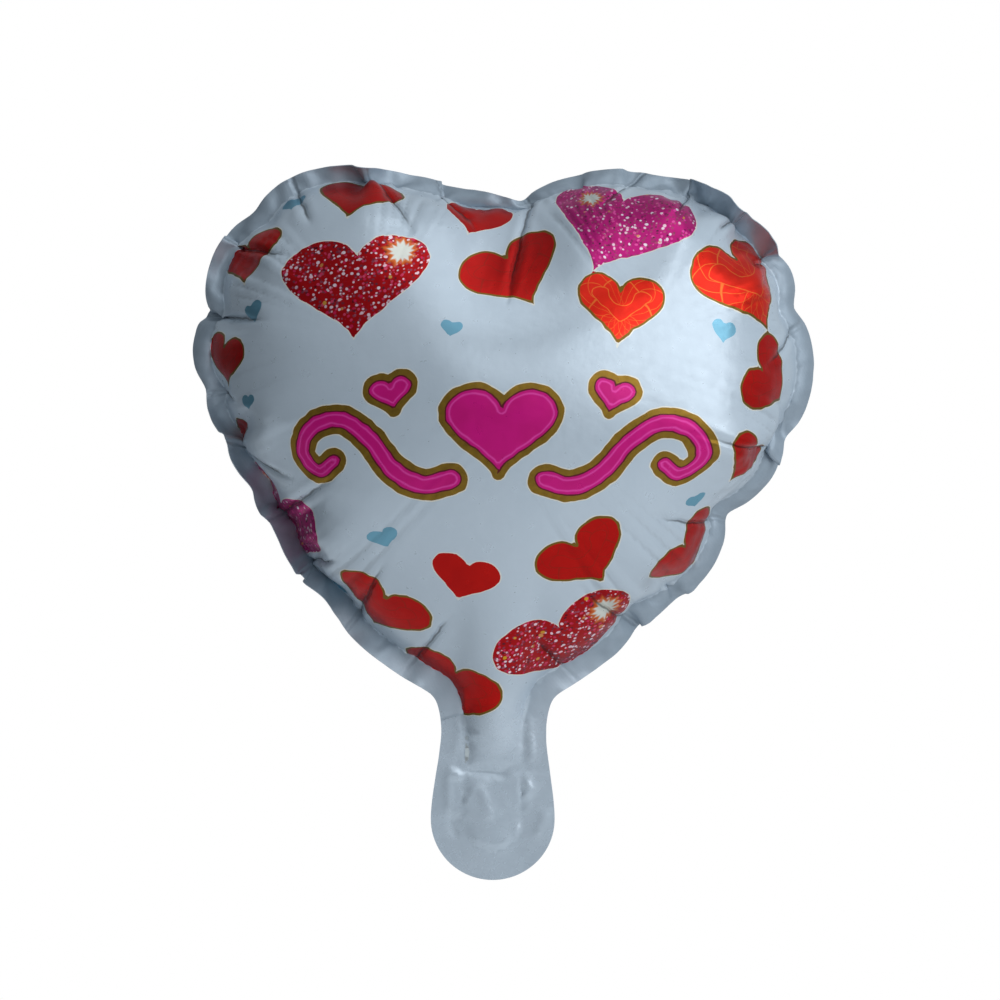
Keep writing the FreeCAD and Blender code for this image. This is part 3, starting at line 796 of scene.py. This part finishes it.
class Paint(Nodes):
    """A node material."""

    def __init__(self, name, **uniform):
        self.material = bpy.data.materials.new(name)
        super().__init__(self.material)
        self.shader = self.tree.nodes["Principled BSDF"]
        for socket, value in uniform.items():
            self.shader.inputs[socket.replace("_", " ")].default_value = value

    def step(self, value, low, high, start=0.0, end=1.0):
        """start where value is under low, end where it is over high, and smooth between."""
        kind = {"interpolation_type": "SMOOTHSTEP"}
        return self.node("ShaderNodeMapRange", kind, value, low, high, start, end).outputs[0]

    def band(self, value, low, high, soft=0.06):
        """1 where value is between low and high."""
        return self.math("MULTIPLY", self.step(value, low - soft, low + soft),
                         self.step(value, high - soft, high + soft, 1.0, 0.0))

    def split(self, name):
        made = self.node("ShaderNodeAttribute", {"attribute_name": name})
        return self.node("ShaderNodeSeparateXYZ", {}, made.outputs["Vector"]).outputs

    def noise(self, where, scale, detail=2.0):
        made = self.node("ShaderNodeTexNoise", {}, where)
        made.inputs["Scale"].default_value = scale
        made.inputs["Detail"].default_value = detail
        return made.outputs[0]

    def cells(self, where, scale):
        made = self.node("ShaderNodeTexVoronoi", {"feature": "F1"}, where)
        made.inputs["Scale"].default_value = scale
        return made.outputs

    def relief(self, height):
        """height is in millimetres."""
        made = self.node("ShaderNodeBump", {})
        made.inputs["Distance"].default_value = MM
        self.put(made.inputs["Height"], height)
        self.put(self.shader.inputs["Normal"], made.outputs[0])

    def finish(self, base, metallic=None, roughness=None):
        self.put(self.shader.inputs["Base Color"], base)
        if metallic is not None:
            self.put(self.shader.inputs["Metallic"], metallic)
        if roughness is not None:
            self.put(self.shader.inputs["Roughness"], roughness)
        return self.material


FILM_COLOUR = colour(204, 215, 225)
# the rim's grey, darker than the film: partly its unprinted silver, partly painted shade
FLANGE_SILVER_AND_SHADE = colour(172, 184, 195)
CREAM = colour(232, 228, 214)
OLIVE = colour(122, 92, 30)


def is_kind(m, kind, low, high):
    """1 on printed hearts of the kinds from low to high."""
    over = m.math("GREATER_THAN", kind, low - 0.5)
    return m.math("MULTIPLY", over, m.math("LESS_THAN", kind, high + 0.5))


def facet_net(m, away, across, up, width):
    """Thin lines on a heart: a smaller heart inside it, and two zigzags between that and its outline."""
    table = m.math("MULTIPLY", width, -0.155)
    depth = m.math("DIVIDE", away, table)
    turn = m.math("MULTIPLY", m.math("ARCTAN2", m.math("ADD", up, 0.05), across), 7 / (2 * math.pi))
    zig = m.math("ABSOLUTE", m.math("MULTIPLY_ADD", m.math("FRACT", turn), 2.0, -1.0))
    zag = m.math("SUBTRACT", 1.0, zig)
    band = m.step(depth, 0.97, 1.0, 1.0, 0.0)
    net = 0.0
    for path in (zig, zag):
        line = m.step(m.math("ABSOLUTE", m.math("SUBTRACT", path, depth)), 0.012, 0.04, 1.0, 0.0)
        net = m.math("MAXIMUM", net, m.math("MULTIPLY", line, band))
    rise = m.math("ABSOLUTE", m.math("SUBTRACT", away, table))
    return m.math("MAXIMUM", net, m.step(rise, 0.08, 0.2, 1.0, 0.0))


def red_ink(m, where, kind, net, across, up):
    """The red fill, which is brighter on the faceted hearts, with a sheen and their net."""
    red = m.mix(m.noise(where, 0.12), colour(200, 16, 8), colour(176, 8, 6))
    bright = is_kind(m, kind, FACETED, FACETED)
    red = m.mix(bright, red, colour(226, 38, 20))
    glow = m.step(m.math("SUBTRACT", m.math("MULTIPLY", across, 0.7), up), 0.22, 0.52)
    sheen = m.math("MULTIPLY", glow, m.math("MULTIPLY", bright, 0.75))
    red = m.mix(sheen, red, colour(255, 140, 108))
    lined = m.blend(bright, m.math("MULTIPLY", is_kind(m, kind, OUTLINED, OUTLINED), 0.35), 0.45)
    lined = m.math("MULTIPLY", lined, is_kind(m, kind, OUTLINED, FACETED))
    thread = m.mix(bright, colour(120, 40, 20), colour(240, 150, 60))
    return m.mix(m.math("MULTIPLY", net, lined), red, thread)


def glitter_ink(m, where, pink):
    """Layers of dots on red, or on pink where pink is 1."""
    fill = m.mix(pink, colour(176, 4, 14), colour(194, 28, 122))
    for scale, low, high, size, on_red, on_pink in GLITTER:
        dots = m.cells(where, scale)
        chance, tone, _ = m.node("ShaderNodeSeparateColor", {}, dots["Color"]).outputs
        spot = m.step(dots["Distance"], size, size + 0.1, 1.0, 0.0)
        fleck = m.mix(pink, colour(*on_red), colour(*on_pink))
        fleck = m.mix(m.math("MULTIPLY", tone, 0.4), fleck, colour(235, 120, 150))
        fill = m.mix(m.math("MULTIPLY", m.band(chance, low, high, 0.01), spot), fill, fleck)
    return fill


def starburst(m, fill, glitter):
    """The fill with a pale star, orange at its spikes, on each glitter heart."""
    x, z, _ = m.split("star")
    turn = m.math("ARCTAN2", z, x)
    spikes = m.math("ABSOLUTE", m.math("SINE", m.math("MULTIPLY", turn, 6.5)))
    uneven = m.math("ABSOLUTE", m.math("SINE", m.math("MULTIPLY_ADD", turn, 2.5, 0.7)))
    reach = m.math("MULTIPLY_ADD", spikes, -1.5, m.math("MULTIPLY_ADD", uneven, 0.9, 4.6))
    far = m.math("SQRT", m.math("ADD", m.math("POWER", m.math("ABSOLUTE", x), 2.0),
                                m.math("POWER", m.math("ABSOLUTE", z), 2.0)))
    past = m.math("SUBTRACT", far, reach)
    outer = m.math("MULTIPLY", glitter, m.step(past, 0.0, 2.2, 0.85, 0.0))
    inner = m.math("MULTIPLY", glitter, m.step(past, -1.2, 0.2, 1.0, 0.0))
    return m.mix(inner, m.mix(outer, fill, colour(222, 120, 50)), colour(226, 226, 216))


def ornament(m, base, where, motif):
    """The base with the ornament: a cream edge, olive, a dark line, and magenta with a paler line in it."""
    gilt = m.mix(m.noise(where, 0.5), OLIVE, colour(160, 124, 42))
    magenta = m.mix(m.noise(where, 0.1), colour(222, 12, 138), colour(196, 8, 112))
    base = m.mix(m.step(motif, 2.5, 2.65, 1.0, 0.0), base, CREAM)
    base = m.mix(m.step(motif, 2.15, 2.3, 1.0, 0.0), base, gilt)
    base = m.mix(m.step(motif, 0.25, 0.35, 1.0, 0.0), base, colour(96, 20, 30))
    base = m.mix(m.step(motif, -0.25, -0.1, 1.0, 0.0), base, magenta)
    return m.mix(m.band(motif, -1.5, -1.0, 0.3), base, colour(236, 70, 170))


def film_material(name):
    """Pearl film with the print: hearts, glitter hearts and the ornament, and painted shade along the
    creases and in the wrinkles' valleys. The rim outside is silver, painted darker than the film, partly as
    painted shade.
    """
    m = Paint(name, IOR=1.36, Coat_Weight=0.08, Coat_Roughness=0.15)
    x, z, rim = m.split("flat")
    away, kind, motif = m.split("art")
    across, up, width = m.split("local")
    across_fold, folded, wrinkled = m.split("folds")
    where = m.node("ShaderNodeCombineXYZ", {}, x, z, 0.0).outputs[0]
    film = m.mix(m.noise(where, 0.03), FILM_COLOUR, colour(192, 205, 216))
    sealed = m.step(rim, -0.2, 0.5)
    ink = m.math("MULTIPLY", m.step(away, -0.05, 0.05, 1.0, 0.0), m.math("SUBTRACT", 1.0, sealed))

    # the print
    glitter = is_kind(m, kind, RED_GLITTER, PINK_GLITTER)
    fill = red_ink(m, where, kind, facet_net(m, away, across, up, width), across, up)
    fill = m.mix(glitter, fill, glitter_ink(m, where, is_kind(m, kind, PINK_GLITTER, PINK_GLITTER)))
    fill = starburst(m, fill, glitter)
    fill = m.mix(is_kind(m, kind, PALE_BLUE, PALE_BLUE), fill, colour(116, 168, 190))
    rimmed = m.math("MULTIPLY", is_kind(m, kind, OUTLINED, FACETED), m.band(away, -0.75, 0.1))
    fill = m.mix(rimmed, fill, OLIVE)
    edged = m.math("MULTIPLY", is_kind(m, kind, PLAIN, PINK_GLITTER), m.band(away, -0.1, 0.38))
    base = m.mix(m.math("MULTIPLY", edged, 0.8), film, CREAM)
    base = m.mix(ink, base, fill)
    base = m.mix(sealed, base, film)
    base = ornament(m, base, where, motif)

    # painted shade: darker along the pinched creases and in the wrinkles' valleys
    wobble = m.math("MULTIPLY_ADD", m.noise(where, 0.12), 1.0, -0.5)
    fold = m.math("ABSOLUTE", m.math("ADD", across_fold, wobble))
    line = m.math("MULTIPLY", m.step(fold, 0.1, 0.65, 0.8, 0.0), m.step(folded, 0.15, 0.8))
    line = m.math("MAXIMUM", line, m.step(wrinkled, -0.3, -0.02, 0.22, 0.0))
    base = m.mix(line, base, m.mix(0.85, base, (0, 0, 0, 1)))

    # the silver rim, painted darker than the film: partly its own unprinted silver, partly painted shade
    outer = m.math("MULTIPLY", sealed, m.step(z, 2.0, 30.0))
    base = m.mix(outer, base, m.mix(m.noise(where, 0.22, 4.0), FLANGE_SILVER_AND_SHADE, colour(146, 160, 172)))
    printed_metal = m.math("MAXIMUM", ink, m.math("MAXIMUM", rimmed, m.band(motif, 0.3, 2.2)))
    metallic = m.blend(printed_metal, m.step(z, 0.0, 24.0, 0.3, 0.35), 0.78)
    metallic = m.blend(outer, metallic, 0.5)
    satin = m.step(m.noise(where, 0.25, 3.0), 0.2, 0.8, 0.26, 0.38)
    satin = m.math("ADD", satin, m.math("MULTIPLY", outer, 0.2))
    roughness = m.math("SUBTRACT", satin, m.step(z, 0.0, 24.0, 0.06, 0.0))

    # relief: the weld's fine hatching, the film's unevenness and the creases' valleys
    hatch = m.math("SINE", m.math("MULTIPLY", m.math("ADD", x, m.math("MULTIPLY", z, 0.6)), 5.2))
    hatch = m.math("MULTIPLY", m.math("MULTIPLY", hatch, 0.003), outer)
    skin = m.math("MULTIPLY", m.noise(where, 0.22, 2.0), 0.1)
    valley = m.math("MULTIPLY", m.step(fold, 0.0, 1.5, -0.5, 0.0), folded)
    m.relief(m.math("ADD", m.math("ADD", hatch, skin), valley))
    return m.finish(base, metallic, roughness)


def clear_material(name, tint, grain):
    """The valve's film: milky clear, with faint die lines."""
    m = Paint(name, Metallic=0.0, IOR=1.5, Transmission_Weight=0.55)
    where = m.node("ShaderNodeTexCoord", {}).outputs["Object"]
    lines = m.node("ShaderNodeTexWave", {"bands_direction": "X"}, where)
    lines.inputs["Scale"].default_value = grain
    lines.inputs["Distortion"].default_value = 1.5
    m.relief(m.math("MULTIPLY", lines.outputs["Fac"], 0.01))
    base = m.mix(m.noise(where, 90.0), tint, colour(236, 240, 240))
    return m.finish(base, None, m.step(m.noise(where, 400.0), 0.2, 0.8, 0.25, 0.45))


def matt_material(name, tint, other, grain):
    """Ink or weld: a matt layer, faintly mottled."""
    m = Paint(name, Metallic=0.0)
    where = m.node("ShaderNodeTexCoord", {}).outputs["Object"]
    m.relief(m.math("MULTIPLY", m.noise(where, grain, 3.0), 0.02))
    base = m.mix(m.noise(where, grain / 3), tint, other)
    return m.finish(base, None, m.step(m.noise(where, grain), 0.2, 0.8, 0.5, 0.7))


# ---- the pieces

sheet = flat_mesh()
points, flat, front, back, rim, outside, folds = shaped(sheet, inflate(sheet))
flat_sides = np.c_[flat, outside]
mirrored = flat * [-1, 1]
hearts = laid_flat(points, flat, front)
front_print = printed(flat, hearts)
back_print = printed(mirrored, hearts)

front_sheet = film_piece("front_sheet", points, np.vstack([front, rim]), *LAYER,
                         {"flat": flat_sides, "folds": folds, **front_print})
back_sheet = film_piece("back_sheet", points, np.vstack([back, rim[:, ::-1]]), *LAYER,
                        {"flat": np.c_[mirrored, outside], "folds": folds, **back_print})
rim_weld = film_piece("rim_weld", points, rim, -WELD_HALF, WELD_HALF, {"flat": flat_sides})

printed_film = film_material("printed_film")
front_sheet.data.materials.append(printed_film)
back_sheet.data.materials.append(printed_film)
heat_weld = matt_material("heat_weld", colour(196, 204, 208), colour(176, 186, 192), 300.0)
rim_weld.data.materials.append(heat_weld)

VALVE = {
    "valve_front_ply": clear_material("valve_film_front", colour(206, 220, 226), 300.0),
    "valve_back_ply": clear_material("valve_film_back", colour(202, 216, 222), 280.0),
    "valve_side_seals": matt_material("valve_seal", colour(214, 222, 224), colour(196, 206, 210), 500.0),
    "valve_release_ink": matt_material("release_ink", colour(120, 150, 190), colour(90, 120, 170), 700.0),
    "valve_tack_seals": matt_material("tack_seal", colour(204, 212, 214), colour(184, 194, 198), 500.0),
}
for node, finish in VALVE.items():
    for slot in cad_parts[node].material_slots:
        slot.material = finish

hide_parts("front_film", "tail_front_film")
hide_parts("back_film", "tail_back_film")
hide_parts("perimeter_weld", "tail_side_welds")
for piece in (front_sheet, back_sheet, rim_weld):
    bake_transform(piece)

# ---- floor, light and camera


def floor():
    """A large pale disc that fades into the background."""
    sides = 48
    radii = (0.4, 1.0, 1.8, 2.6)
    rings = np.array([(r * math.cos(a), r * math.sin(a), FLOOR_HEIGHT) for r in radii
                      for a in np.linspace(0, 2 * math.pi, sides, endpoint=False)])
    mesh = bpy.data.meshes.new("floor")
    faces = [tuple(range(sides))]
    for first in range(0, sides * (len(radii) - 1), sides):
        for i in range(sides):
            j = (i + 1) % sides
            faces.append((first + i, first + sides + i, first + sides + j, first + j))
    mesh.from_pydata(rings.tolist(), [], faces)
    made = bpy.data.objects.new("floor", mesh)
    bpy.context.scene.collection.objects.link(made)
    m = Paint("pale_floor", Roughness=0.9)
    where = m.node("ShaderNodeTexCoord", {}).outputs["Object"]
    away = m.node("ShaderNodeVectorMath", {"operation": "LENGTH"}, where).outputs["Value"]
    m.shader.inputs["Emission Color"].default_value = (1, 1, 1, 1)
    m.shader.inputs["Emission Strength"].default_value = 0.12
    m.finish(m.mix(m.noise(where, 3.0), (0.80, 0.80, 0.80, 1), (0.84, 0.84, 0.84, 1)))
    clear = m.node("ShaderNodeBsdfTransparent", {}).outputs[0]
    shaded = m.node("ShaderNodeMixShader", {}, m.step(away, 0.8, 2.0), m.shader.outputs[0], clear)
    m.put(m.tree.nodes["Material Output"].inputs["Surface"], shaded.outputs[0])
    mesh.materials.append(m.material)


def studio_world():
    """White behind the object. What lights it is dim on the left and bright on the right and above."""
    world = bpy.data.worlds.new("studio")
    bpy.context.scene.world = world
    n = Nodes(world)
    n.tree.nodes.clear()
    way = n.node("ShaderNodeTexCoord", {}).outputs["Generated"]
    across, _, up = n.node("ShaderNodeSeparateXYZ", {}, way).outputs
    slant = n.math("MULTIPLY_ADD", up, 0.6, across)
    spread = n.node("ShaderNodeMapRange", {}, slant, -1.2, 1.2).outputs[0]
    ramp = n.node("ShaderNodeValToRGB", {}, spread)
    for element, tone in zip(ramp.color_ramp.elements, WORLD_TONES):
        element.color = tone
    lighting = n.node("ShaderNodeBackground", {}, ramp.outputs[0], WORLD_STRENGTH).outputs[0]
    white = n.node("ShaderNodeBackground", {}, (1, 1, 1, 1)).outputs[0]
    seen = n.node("ShaderNodeLightPath", {}).outputs["Is Camera Ray"]
    chosen = n.node("ShaderNodeMixShader", {}, seen, lighting, white).outputs[0]
    n.node("ShaderNodeOutputWorld", {}, chosen)


def area_light(name, place, aim, width, height, power, tone):
    """A soft light at place that points at aim."""
    light = bpy.data.lights.new(name, "AREA")
    light.shape = "RECTANGLE"
    light.size, light.size_y = width, height
    light.energy = power
    light.color = tone
    made = bpy.data.objects.new(name, light)
    bpy.context.scene.collection.objects.link(made)
    made.location = place
    made.rotation_euler = (Vector(aim) - Vector(place)).to_track_quat("-Z", "Y").to_euler()


floor()
studio_world()
for settings in LIGHTS:
    area_light(*settings)
bpy.context.scene.view_settings.view_transform = "Standard"

camera = bpy.data.cameras.new("camera")
camera.lens = LENS
seen_from = bpy.data.objects.new("camera", camera)
bpy.context.scene.collection.objects.link(seen_from)
seen_from.location = CAMERA_PLACE
seen_from.rotation_euler = (math.pi / 2, CAMERA_ROLL, 0)
bpy.context.scene.camera = seen_from
